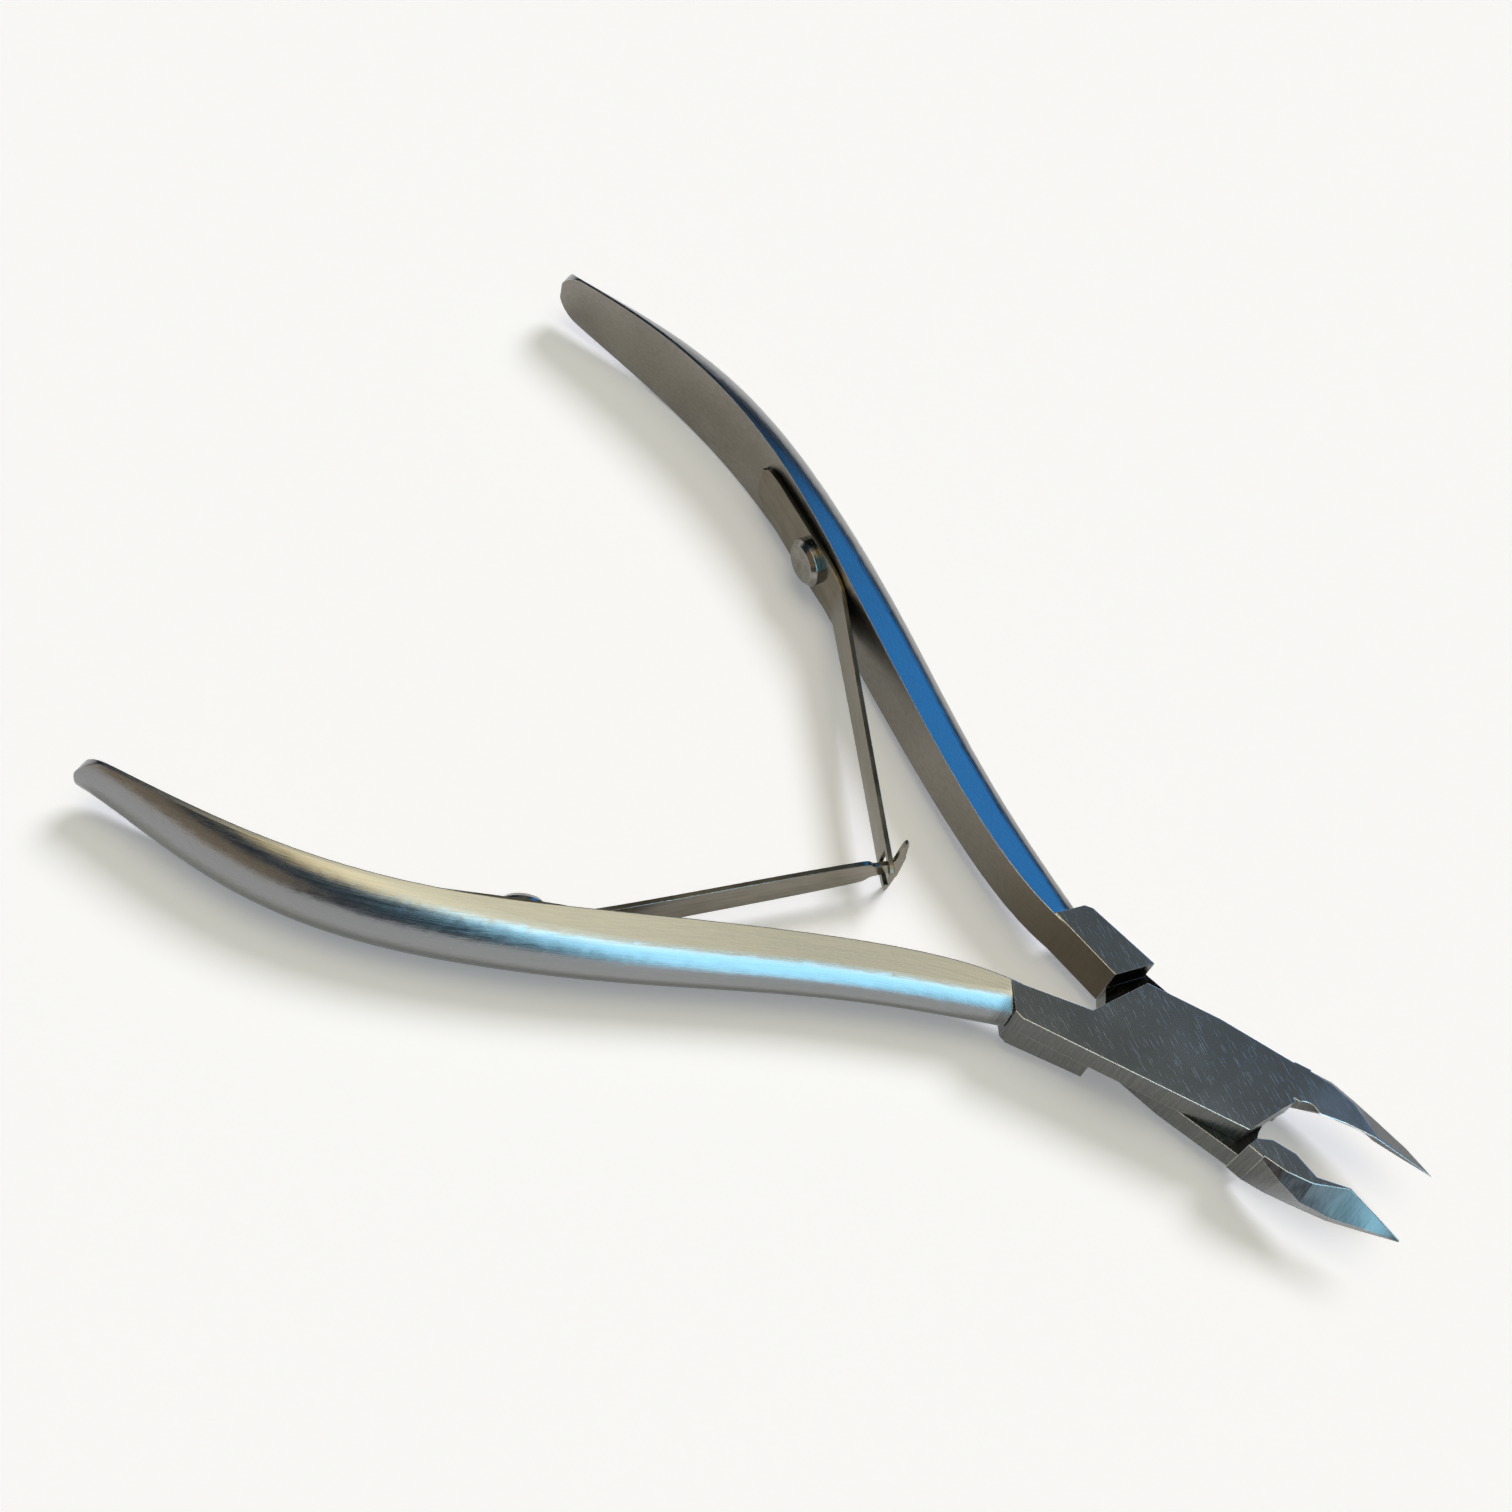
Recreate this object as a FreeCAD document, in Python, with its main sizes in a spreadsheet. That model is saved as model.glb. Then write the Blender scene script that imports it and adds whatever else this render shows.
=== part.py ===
"""Lap-joint nippers with a double leaf spring, modelled in their open rest pose.

Frame: the origin lies on the pivot axis, on the underside of the joint. +X points along the
tool's centre line to the jaws, +Y to the rear lever's handle and +Z up through the joint.
The front lever's plate is the upper half of the joint and the rear lever's the lower half.
Both forgings share one outline, turned over about the centre line; only the jaws differ,
because both cutting edges lie at the top. All lengths are in millimetres.
"""
import FreeCAD, Part

import math
import os

import Sketcher

doc = FreeCAD.newDocument("nippers")
sheet = doc.addObject("Spreadsheet::Sheet", "Sizes")
SIZES = {}


def size(alias, value, note=""):
    """Put one driving dimension in the sheet under a name."""
    row = len(SIZES) + 1
    sheet.set(f"A{row}", alias)
    sheet.set(f"B{row}", repr(round(float(value), 4)))
    sheet.set(f"C{row}", note)
    sheet.setAlias(f"B{row}", alias)
    SIZES[alias] = float(value)


def derived(alias, base, offset):
    """Put a dimension in the sheet that follows another one at a fixed distance."""
    size(alias, SIZES[base] + offset)
    sheet.set(f"B{len(SIZES)}", f"={base} + {offset}")


def place(name, along, across):
    """Put a named point of the plan outline in the sheet, as the rear lever has it."""
    size(name + "_x", along)
    size(name + "_y", across)


def place_by_shoulder(name, setback, across):
    """A plan point that lies a setback behind the other lever's shoulder arc."""
    derived(name + "_x", "shoulder_radius", -setback)
    size(name + "_y", across)


# ---------------------------------------------------------------- driving dimensions
size("joint_thickness", 5.0, "both lap plates together")
size("lap_gap", 0.04, "between the two lap plates")
size("pivot_radius", 1.9)
size("pivot_clearance", 0.04, "radial, in the rear lever's bore")
size("pivot_head_radius", 2.8, "countersunk head, ground flush")
size("pivot_head_depth", 0.9)
size("pivot_web", 0.6, "left above the blind bore in the front lever")
size("shoulder_radius", 11.4, "arc about the pivot where each jaw reaches full thickness")

place("block_inner_back", -11.3, 3.667)
place("crotch", -4.75, 1.9)
place("block_front", -2.6, 4.75)
place("block_back", -9.0, 5.95)
place("block_outer_back", -9.7, 5.75)
place("plate_back", -2.25, -2.9)
place("plate_waist", 4.0, -3.8)
place_by_shoulder("plate_outer", -0.2, -4.2)
place_by_shoulder("plate_root_front", -0.2, -1.6)
place_by_shoulder("plate_root_rear", -0.2, -3.3)
place_by_shoulder("plate_nose_front", -0.7, -1.25)
place_by_shoulder("plate_nose_rear", 0.25, -1.45)
place_by_shoulder("plate_mid_nose_front", -0.15, -0.2)
place_by_shoulder("plate_mid_nose_rear", 0.25, -0.2)
place_by_shoulder("plate_nose_corner", 0.65, 1.6)
place_by_shoulder("plate_front", 1.3, 3.1)

# Grip stations from the end to the joint: place along X, inner face, width in Z, depth in Y.
GRIP_END = -79.3
GRIP_END_TAPER = 6.3
GRIP = [
    (GRIP_END, 31.75, 5.0, 1.35),
    (GRIP_END + GRIP_END_TAPER, 31.2, 6.8, 1.9),
    (-63.5, 29.7, 8.2, 3.1),
    (-53.4, 26.3, 8.1, 3.85),
    (-41.6, 19.75, 7.0, 4.65),
    (-31.0, 13.1, 6.1, 4.75),
    (-21.5, 7.6, 5.35, 4.3),
    (-14.8, 4.55, 5.05, 3.75),
    (-9.9, 3.3, 4.85, 2.6),
]
for number, (along, face, width, depth) in enumerate(GRIP):
    if number == 1:
        derived("grip1_x", "grip0_x", GRIP_END_TAPER)
    else:
        size(f"grip{number}_x", along)
    size(f"grip{number}_face", face)
    size(f"grip{number}_width", width)
    size(f"grip{number}_depth", depth)
size("grip_land", 0.3, "straight side beside the inner face, at the thin end")
size("grip_land_fall", 0.15, "how far the side sinks for each millimetre from the inner face")
size("grip_crown_share", 0.86, "largest rise of the rounded back, as a share of its half width")
size("grip_end_run", 2.6, "length of the rounding at the free end")
size("grip_end_flat", 1.8)
size("grip_end_bulge", 0.5)

# Jaw stations from the shoulder arc to the tip, as distances from the centre line with
# heights given as shares of the joint's thickness. Each section has six corners: the inner top
# edge, the crest and foot of the ground bevel, the outer bottom, the foot and the rim of the
# hollow.
JAW_FROM_SHOULDER = [0.6, 2.6, 4.8, 7.4, 10.0, 12.7]
for number, distance in enumerate(JAW_FROM_SHOULDER):
    derived(f"jaw{number}_x", "shoulder_radius", distance)
JAW_OUTER = [
    [(4.3, 1.0), (4.5, 0.94), (4.45, 0.0), (3.6, 0.0)],
    [(4.35, 1.0), (5.0, 0.84), (4.45, 0.05), (4.2, 0.06)],
    [(3.95, 1.0), (5.15, 0.69), (4.4, 0.18), (4.2, 0.2)],
    [(2.6, 1.0), (4.75, 0.66), (4.5, 0.42), (4.1, 0.45)],
    [(2.9, 0.862), (4.04, 0.715), (3.86, 0.53), (3.6, 0.56)],
    [(3.2, 0.717), (3.26, 0.69), (3.24, 0.68), (3.21, 0.685)],
]
JAW_EDGE = {
    "front": [(1.45, 1.0), (1.5, 1.0), (2.1, 1.0), (2.49, 1.0), (2.835, 0.865), (3.185, 0.72)],
    "rear": [(2.7, 1.0), (2.6, 1.0), (3.3, 1.0), (2.49, 1.0), (2.835, 0.865), (3.185, 0.72)],
}
JAW_HOLLOW = {
    "front": [(1.6, 0.6), (2.1, 0.74), (3.1, 0.8), (2.54, 0.86), (2.885, 0.76), (3.19, 0.7)],
    "rear": [(2.9, 0.6), (3.1, 0.7), (3.75, 0.78), (2.54, 0.86), (2.885, 0.76), (3.19, 0.7)],
}
size("jaw_root_outer", 4.25, "where the shoulder arc meets the outer wall")
size("jaw_root_inner_front", 1.35)
size("jaw_root_inner_rear", 3.35)
derived("jaw_relief_x", "shoulder_radius", 1.85)
size("jaw_relief_y", 0.6)
size("jaw_relief_radius", 1.24, "round relief ground into the front lever's jaw at its root")

size("leaf_thickness", 0.4)
size("leaf_seat_gap", 0.06, "the pad's ends stand off the grip by this much")
size("leaf_pad_width", 5.3, "where it is riveted to the grip")
size("leaf_root_width", 4.2, "just after the bend")
size("leaf_tip_width", 3.2)
size("leaf_bend_x", -41.2)
size("leaf_cross_x", -24.6, "where the two leaves cross, on the centre line")
size("leaf_neck_width", 1.7)
size("leaf_slot_clearance", 0.1, "each side of the neck in the fork")
size("leaf_neck_room", 0.2, "beyond the other leaf's thickness, along X")
size("leaf_neck_reach", 1.25 * SIZES["leaf_thickness"] + SIZES["leaf_neck_room"])
sheet.set(f"B{len(SIZES)}", "=1.25 * leaf_thickness + leaf_neck_room")
size("leaf_fork_reach", 0.8, "from the crossing to the prongs' ends, along X")
size("leaf_ear_room", 0.016, "beyond the other leaf's thickness, along X")
size("leaf_ear_start", 0.66 * SIZES["leaf_thickness"] + SIZES["leaf_ear_room"])
sheet.set(f"B{len(SIZES)}", "=0.66 * leaf_thickness + leaf_ear_room")
derived("leaf_ear_end", "leaf_ear_start", 0.57)
size("leaf_ear_span", 8.4, "across both ears, in Z")

size("rivet_x", -45.2, "spring rivet, on the pad's chord")
size("rivet_shank_radius", 1.1)
size("rivet_shank_depth", 2.6, "into the grip")
size("rivet_hole_clearance", 0.05, "radial, in the leaf")
size("rivet_head_radius", 2.15)
size("rivet_head_height", 0.95)
size("rivet_head_bevel", 0.4)
doc.recompute()


def cell(alias):
    return f"<<Sizes>>.{alias}"


# ---------------------------------------------------------------- sketch helpers
def origin_plane(body, role):
    for feature in body.Origin.OriginFeatures:
        if feature.Role == role:
            return feature
    raise ValueError(role)


def new_sketch(body, role, name, position=(0, 0, 0), turn=None):
    """Attach a sketch to one of the body's origin planes, shifted along or turned from it."""
    sketch = body.newObject("Sketcher::SketchObject", name)
    sketch.AttachmentSupport = (origin_plane(body, role), [""])
    sketch.MapMode = "FlatFace"
    rotation = turn or FreeCAD.Rotation()
    sketch.AttachmentOffset = FreeCAD.Placement(FreeCAD.Vector(*position), rotation)
    return sketch


def pin_point(sketch, geometry, vertex, label, across, up):
    """Hold a vertex at two bound distances from the sketch's origin.

    across and up are (value, expression) pairs.
    """
    for kind, suffix, (value, expression) in (("DistanceX", "_x", across), ("DistanceY", "_y", up)):
        rule = Sketcher.Constraint(kind, -1, 1, geometry, vertex, value)
        index = sketch.addConstraint(rule)
        sketch.renameConstraint(index, label + suffix)
        if expression:
            sketch.setExpression(f"Constraints.{label}{suffix}", expression)


def outline(sketch, corners):
    """Draw a closed polygon through (label, across, up) corners and pin every one."""
    points = [FreeCAD.Vector(across[0], up[0], 0) for _, across, up in corners]
    count = len(points)
    first = sketch.GeometryCount
    for index in range(count):
        sketch.addGeometry(Part.LineSegment(points[index], points[(index + 1) % count]))
    for index in range(count):
        following = first + (index + 1) % count
        sketch.addConstraint(Sketcher.Constraint("Coincident", first + index, 2, following, 1))
    for index, (label, across, up) in enumerate(corners):
        pin_point(sketch, first + index, 1, label, across, up)


def plan_corner(name, side):
    """A named plan point: side is 1 for the rear lever, -1 for the front one."""
    along = (SIZES[name + "_x"], cell(name + "_x"))
    across = (side * SIZES[name + "_y"], f"{side} * {cell(name + '_y')}")
    return (name, along, across)


def fixed(value):
    return (value, None)


def pad(body, sketch, name, length, start=None):
    """Extrude a sketch upward by a bound length, from a bound height."""
    feature = body.newObject("PartDesign::Pad", name)
    feature.Profile = sketch
    feature.Length = length[0]
    feature.setExpression("Length", length[1])
    if start:
        sketch.setExpression("AttachmentOffset.Base.z", start)
    sketch.Visibility = False
    doc.recompute()
    return feature


def pocket(body, sketch, name, through=True, depth=None, reverse=False):
    """Cut a sketch out of the body and stop if nothing was removed."""
    before = body.Shape.Volume
    feature = body.newObject("PartDesign::Pocket", name)
    feature.Profile = sketch
    if through:
        feature.Type = 1
        feature.Midplane = True
    else:
        feature.Length = depth[0]
        feature.setExpression("Length", depth[1])
    feature.Reversed = reverse
    doc.recompute()
    if body.Shape.Volume > before - 1e-3:
        raise RuntimeError(f"{name} removed nothing")
    return feature


# ---------------------------------------------------------------- levers
def grip_section(body, number, side):
    """One D-shaped station of the grip: flat inner face, sloping lands, rounded back.

    The lands run into the back without a crease where the back has its largest rise.
    """
    name = f"grip_station_{number}"
    sketch = new_sketch(body, "YZ_Plane", name)
    sketch.setExpression("AttachmentOffset.Base.z", cell(f"grip{number}_x"))
    middle = SIZES["joint_thickness"] / 2
    half = SIZES[f"grip{number}_width"] / 2
    depth = SIZES[f"grip{number}_depth"]
    share, fall = SIZES["grip_crown_share"], SIZES["grip_land_fall"]
    rise = min(depth - SIZES["grip_land"], share * (half - fall * depth) / (1 - fall * share))
    land = depth - rise
    drop = fall * land
    arc_half = half - drop
    face = side * SIZES[f"grip{number}_face"]
    edge = face + side * land
    back = face + side * depth
    low = FreeCAD.Vector(face, middle - half, 0)
    high = FreeCAD.Vector(face, middle + half, 0)
    high_edge = FreeCAD.Vector(edge, middle + arc_half, 0)
    low_edge = FreeCAD.Vector(edge, middle - arc_half, 0)
    crown = FreeCAD.Vector(back, middle, 0)
    sketch.addGeometry(Part.LineSegment(low, high))
    sketch.addGeometry(Part.LineSegment(high, high_edge))
    sketch.addGeometry(Part.LineSegment(low_edge, low))
    sketch.addGeometry(Part.Arc(high_edge, crown, low_edge))
    arc_top, arc_bottom = (2, 1) if side > 0 else (1, 2)
    for rule in (
        Sketcher.Constraint("Coincident", 0, 2, 1, 1),
        Sketcher.Constraint("Coincident", 2, 2, 0, 1),
        Sketcher.Constraint("Coincident", 1, 2, 3, arc_top),
        Sketcher.Constraint("Coincident", 2, 1, 3, arc_bottom),
        Sketcher.Constraint("Vertical", 0),
        Sketcher.Constraint("Vertical", 1, 2, 2, 1),
    ):
        sketch.addConstraint(rule)
    low_place = f"{cell('joint_thickness')} / 2 - {cell(f'grip{number}_width')} / 2"
    pin_point(
        sketch, 0, 1, "inner_low",
        (face, f"{side} * {cell(f'grip{number}_face')}"),
        (middle - half, low_place),
    )
    width = sketch.addConstraint(Sketcher.Constraint("DistanceY", 0, 1, 0, 2, 2 * half))
    sketch.renameConstraint(width, "width")
    sketch.setExpression("Constraints.width", cell(f"grip{number}_width"))
    depth_text = cell(f"grip{number}_depth")
    half_text = f"({cell(f'grip{number}_width')} / 2)"
    share_text, fall_text = cell("grip_crown_share"), cell("grip_land_fall")
    crown_text = (
        f"{share_text} * ({half_text} - {fall_text} * {depth_text})"
        f" / (1 - {fall_text} * {share_text})"
    )
    rise_text = f"min({depth_text} - {cell('grip_land')}; {crown_text})"
    drop_text = f"{fall_text} * ({depth_text} - {rise_text})"
    arc_text = f"({half_text} - {drop_text})"
    for label, low_end, high_end in (("low_drop", (2, 2), (2, 1)), ("high_drop", (1, 2), (1, 1))):
        index = sketch.addConstraint(Sketcher.Constraint("DistanceY", *low_end, *high_end, drop))
        sketch.renameConstraint(index, label)
        sketch.setExpression(f"Constraints.{label}", drop_text)
    straight = sketch.addConstraint(Sketcher.Constraint("DistanceX", 0, 2, 1, 2, side * land))
    sketch.renameConstraint(straight, "land")
    sketch.setExpression("Constraints.land", f"{side} * ({depth_text} - {rise_text})")
    radius = sketch.addConstraint(
        Sketcher.Constraint("Radius", 3, (arc_half**2 + rise**2) / (2 * rise))
    )
    sketch.renameConstraint(radius, "back_radius")
    sketch.setExpression(
        "Constraints.back_radius",
        f"({arc_text} * {arc_text} + {rise_text} * {rise_text}) / (2 * {rise_text})",
    )
    return sketch


def loft(body, sections, name, ruled):
    feature = body.newObject("PartDesign::AdditiveLoft", name)
    feature.Profile = sections[0]
    feature.Sections = sections[1:]
    feature.Ruled = ruled
    doc.recompute()
    return feature


def jaw_section(body, station, side, lever):
    """One six-cornered jaw station. The jaw lies on the opposite side to the handle."""
    sketch = new_sketch(body, "YZ_Plane", f"jaw_station_{station}")
    sketch.setExpression("AttachmentOffset.Base.z", cell(f"jaw{station}_x"))
    thickness = SIZES["joint_thickness"]
    corners = [JAW_EDGE[lever][station]] + JAW_OUTER[station] + [JAW_HOLLOW[lever][station]]
    text = cell("joint_thickness")
    outline(
        sketch,
        [
            (
                f"corner{index}",
                fixed(-side * across),
                (share * thickness, f"{share} * {text}"),
            )
            for index, (across, share) in enumerate(corners)
        ],
    )
    return sketch


def shoulder_root(body, side, lever):
    """Full-thickness root of the jaw, its back wall an arc about the pivot."""
    sketch = new_sketch(body, "XY_Plane", "jaw_root_outline")
    radius = SIZES["shoulder_radius"]
    outer = -side * SIZES["jaw_root_outer"]
    inner = -side * SIZES["jaw_root_inner_" + lever]
    end_x = SIZES["jaw0_x"]
    end_outer = -side * JAW_OUTER[0][2][0]
    end_inner = -side * JAW_EDGE[lever][0][0]
    start = FreeCAD.Vector(math.sqrt(radius**2 - outer**2), outer, 0)
    finish = FreeCAD.Vector(math.sqrt(radius**2 - inner**2), inner, 0)
    turn = (math.atan2(start.y, start.x) + math.atan2(finish.y, finish.x)) / 2
    middle = FreeCAD.Vector(radius * math.cos(turn), radius * math.sin(turn), 0)
    sketch.addGeometry(Part.Arc(start, middle, finish))
    sketch.addGeometry(Part.LineSegment(finish, FreeCAD.Vector(end_x, end_inner, 0)))
    sketch.addGeometry(
        Part.LineSegment(FreeCAD.Vector(end_x, end_inner, 0), FreeCAD.Vector(end_x, end_outer, 0))
    )
    sketch.addGeometry(Part.LineSegment(FreeCAD.Vector(end_x, end_outer, 0), start))
    first, last = (1, 2) if side > 0 else (2, 1)
    for rule in (
        Sketcher.Constraint("Coincident", 0, 3, -1, 1),
        Sketcher.Constraint("Coincident", 0, last, 1, 1),
        Sketcher.Constraint("Coincident", 1, 2, 2, 1),
        Sketcher.Constraint("Coincident", 2, 2, 3, 1),
        Sketcher.Constraint("Coincident", 3, 2, 0, first),
        Sketcher.Constraint("DistanceY", -1, 1, 1, 1, inner),
        Sketcher.Constraint("DistanceY", -1, 1, 3, 2, outer),
    ):
        sketch.addConstraint(rule)
    end = (end_x, cell("jaw0_x"))
    pin_point(sketch, 2, 1, "inner_end", end, fixed(end_inner))
    pin_point(sketch, 2, 2, "outer_end", end, fixed(end_outer))
    bound = sketch.addConstraint(Sketcher.Constraint("Radius", 0, radius))
    sketch.renameConstraint(bound, "shoulder")
    sketch.setExpression("Constraints.shoulder", cell("shoulder_radius"))
    thickness = (SIZES["joint_thickness"], cell("joint_thickness"))
    return pad(body, sketch, "jaw_root", thickness)


def grind_jaw_relief(body):
    """Round relief beside the plate's nose, where the far jaw's inner wall starts."""
    sketch = new_sketch(body, "XY_Plane", "jaw_relief_outline")
    radius = SIZES["jaw_relief_radius"]
    centre = FreeCAD.Vector(SIZES["jaw_relief_x"], SIZES["jaw_relief_y"], 0)
    sketch.addGeometry(Part.Circle(centre, FreeCAD.Vector(0, 0, 1), radius))
    across = (centre.y, cell("jaw_relief_y"))
    pin_point(sketch, 0, 3, "relief", (centre.x, cell("jaw_relief_x")), across)
    bound = sketch.addConstraint(Sketcher.Constraint("Radius", 0, radius))
    sketch.renameConstraint(bound, "relief_radius")
    sketch.setExpression("Constraints.relief_radius", cell("jaw_relief_radius"))
    pocket(body, sketch, "jaw_relief")


def round_grip_end(body):
    """Cut both corners of the grip's free end to an arc that runs out into its edges."""
    sketch = new_sketch(body, "XZ_Plane", "grip_end_waste")
    middle = SIZES["joint_thickness"] / 2
    end = SIZES["grip0_x"]
    run = SIZES["grip_end_run"]
    spread = (SIZES["grip1_width"] - SIZES["grip0_width"]) / 2
    clear = 0.02
    beyond = 6.0
    half = SIZES["grip0_width"] / 2 + spread * run / (SIZES["grip1_x"] - end) + clear
    flat = SIZES["grip_end_flat"] / 2
    slant = math.hypot(run, half - flat)
    for sign in (1, -1):
        start = FreeCAD.Vector(end - 0.01, middle + sign * flat, 0)
        finish = FreeCAD.Vector(end + run, middle + sign * half, 0)
        bulge = FreeCAD.Vector(-(half - flat), sign * run, 0) * (SIZES["grip_end_bulge"] / slant)
        crown = (start + finish) / 2 + bulge
        above = FreeCAD.Vector(end + run, middle + sign * beyond, 0)
        beside = FreeCAD.Vector(end - 1, middle + sign * beyond, 0)
        below = FreeCAD.Vector(end - 1, middle + sign * flat, 0)
        first = sketch.GeometryCount
        sketch.addGeometry(Part.Arc(start, crown, finish))
        for one, two in ((finish, above), (above, beside), (beside, below), (below, start)):
            sketch.addGeometry(Part.LineSegment(one, two))
        opening, closing = (2, 1) if sign > 0 else (1, 2)
        for rule in (
            Sketcher.Constraint("Coincident", first, closing, first + 1, 1),
            Sketcher.Constraint("Coincident", first + 1, 2, first + 2, 1),
            Sketcher.Constraint("Coincident", first + 2, 2, first + 3, 1),
            Sketcher.Constraint("Coincident", first + 3, 2, first + 4, 1),
            Sketcher.Constraint("Coincident", first + 4, 2, first, opening),
        ):
            sketch.addConstraint(rule)
        word = "high" if sign > 0 else "low"
        for geometry, corner in ((1, finish), (2, above), (3, beside), (4, below)):
            label = f"{word}{geometry}"
            pin_point(sketch, first + geometry, 1, label, fixed(corner.x), fixed(corner.y))
        pin_point(sketch, first + 4, 2, word + "_start", fixed(start.x), fixed(start.y))
    pocket(body, sketch, "grip_end")


def build_lever(lever):
    """One forging: grip, block, half-thickness lap plate, jaw root and ground jaw."""
    side = {"rear": 1, "front": -1}[lever]
    body = doc.addObject("PartDesign::Body", lever + "_lever")
    body.Label = lever + "_lever"
    thickness = SIZES["joint_thickness"]
    text = cell("joint_thickness")

    grip = [grip_section(body, number, side) for number in range(len(GRIP))]
    doc.recompute()
    loft(body, grip, "grip", False)
    round_grip_end(body)

    block = new_sketch(body, "XY_Plane", "block_outline")
    names = ["block_inner_back", "crotch", "block_front", "block_back", "block_outer_back"]
    outline(block, [plan_corner(name, side) for name in names])
    pad(body, block, "block", (thickness, text))

    plate = new_sketch(body, "XY_Plane", "plate_outline")
    names = ["block_back", "block_inner_back", "crotch", "plate_back", "plate_waist",
             "plate_outer", "plate_root_" + lever, "plate_nose_" + lever,
             "plate_mid_nose_" + lever, "plate_nose_corner", "plate_front"]
    outline(plate, [plan_corner(name, side) for name in names])
    half = (thickness / 2 - SIZES["lap_gap"] / 2, f"{text} / 2 - {cell('lap_gap')} / 2")
    start = None if lever == "rear" else f"{text} / 2 + {cell('lap_gap')} / 2"
    pad(body, plate, "lap_plate", half, start)

    shoulder_root(body, side, lever)
    stations = [jaw_section(body, station, side, lever) for station in range(len(JAW_FROM_SHOULDER))]
    doc.recompute()
    loft(body, stations, "jaw", True)
    if lever == "front":
        grind_jaw_relief(body)
    cut_pivot_bore(body, lever)
    cut_rivet_bore(body, side)
    return body


def pivot_reach():
    """Height of the rivet's blind end."""
    value = SIZES["joint_thickness"] - SIZES["pivot_web"]
    return (value, f"{cell('joint_thickness')} - {cell('pivot_web')}")


def cut_pivot_bore(body, lever):
    """Running bore with a countersink in the rear lever, blind press bore in the front one."""
    bore = new_sketch(body, "XY_Plane", "pivot_bore_outline")
    radius = SIZES["pivot_radius"]
    rule = cell("pivot_radius")
    if lever == "rear":
        radius += SIZES["pivot_clearance"]
        rule += " + " + cell("pivot_clearance")
    bore.addGeometry(Part.Circle(FreeCAD.Vector(0, 0, 0), FreeCAD.Vector(0, 0, 1), radius))
    bore.addConstraint(Sketcher.Constraint("Coincident", 0, 3, -1, 1))
    index = bore.addConstraint(Sketcher.Constraint("Radius", 0, radius))
    bore.renameConstraint(index, "bore_radius")
    bore.setExpression("Constraints.bore_radius", rule)
    if lever == "front":
        pocket(body, bore, "pivot_bore", False, pivot_reach(), True)
        return
    pocket(body, bore, "pivot_bore")
    sink = new_sketch(body, "XZ_Plane", "countersink_profile")
    gap = SIZES["pivot_clearance"]
    head = SIZES["pivot_head_radius"] + gap
    shank = SIZES["pivot_radius"] + gap
    depth = SIZES["pivot_head_depth"] + gap
    gap_text = cell("pivot_clearance")
    outline(
        sink,
        [
            ("axis_low", fixed(0), fixed(0)),
            ("rim", (head, f"{cell('pivot_head_radius')} + {gap_text}"), fixed(0)),
            (
                "throat",
                (shank, f"{cell('pivot_radius')} + {gap_text}"),
                (depth, f"{cell('pivot_head_depth')} + {gap_text}"),
            ),
            ("axis_high", fixed(0), (depth, f"{cell('pivot_head_depth')} + {gap_text}")),
        ],
    )
    before = body.Shape.Volume
    groove = body.newObject("PartDesign::Groove", "countersink")
    groove.Profile = sink
    groove.ReferenceAxis = (sink, ["V_Axis"])
    groove.Angle = 360
    doc.recompute()
    if body.Shape.Volume > before - 1e-3:
        raise RuntimeError("the countersink removed nothing")


# ---------------------------------------------------------------- springs and rivets
def chord(side):
    """Two ends of the pad's seat on the grip's inner face."""
    start = FreeCAD.Vector(SIZES["grip3_x"], side * SIZES["grip3_face"], 0)
    finish = FreeCAD.Vector(SIZES["grip4_x"], side * SIZES["grip4_face"], 0)
    return start, finish


def gap_normal(side):
    """Direction from the pad's seat into the gap between the handles."""
    start, finish = chord(side)
    along = (finish - start).normalize()
    return FreeCAD.Vector(along.y, -along.x, 0) * side


def seat_point(side):
    """Centre of the rivet on the pad's outer face."""
    start, finish = chord(side)
    share = (SIZES["rivet_x"] - start.x) / (finish.x - start.x)
    return start + (finish - start) * share


def cut_rivet_bore(body, side):
    """Blind bore for the spring rivet, square to the pad."""
    normal = gap_normal(side)
    middle = FreeCAD.Vector(0, 0, SIZES["joint_thickness"] / 2)
    tool = body.newObject("PartDesign::SubtractiveCylinder", "rivet_bore")
    tool.Radius = SIZES["rivet_shank_radius"]
    tool.setExpression("Radius", cell("rivet_shank_radius"))
    tool.Height = SIZES["rivet_shank_depth"] + 1.0
    tool.setExpression("Height", f"{cell('rivet_shank_depth')} + 1")
    base = seat_point(side) + middle - normal * SIZES["rivet_shank_depth"]
    rotation = FreeCAD.Rotation(FreeCAD.Vector(0, 0, 1), normal)
    tool.AttachmentSupport = (origin_plane(body, "XY_Plane"), [""])
    tool.MapMode = "FlatFace"
    tool.AttachmentOffset = FreeCAD.Placement(base, rotation)
    before = body.Shape.Volume
    doc.recompute()
    if body.Shape.Volume > before - 1e-3:
        raise RuntimeError("the rivet bore removed nothing")


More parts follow.
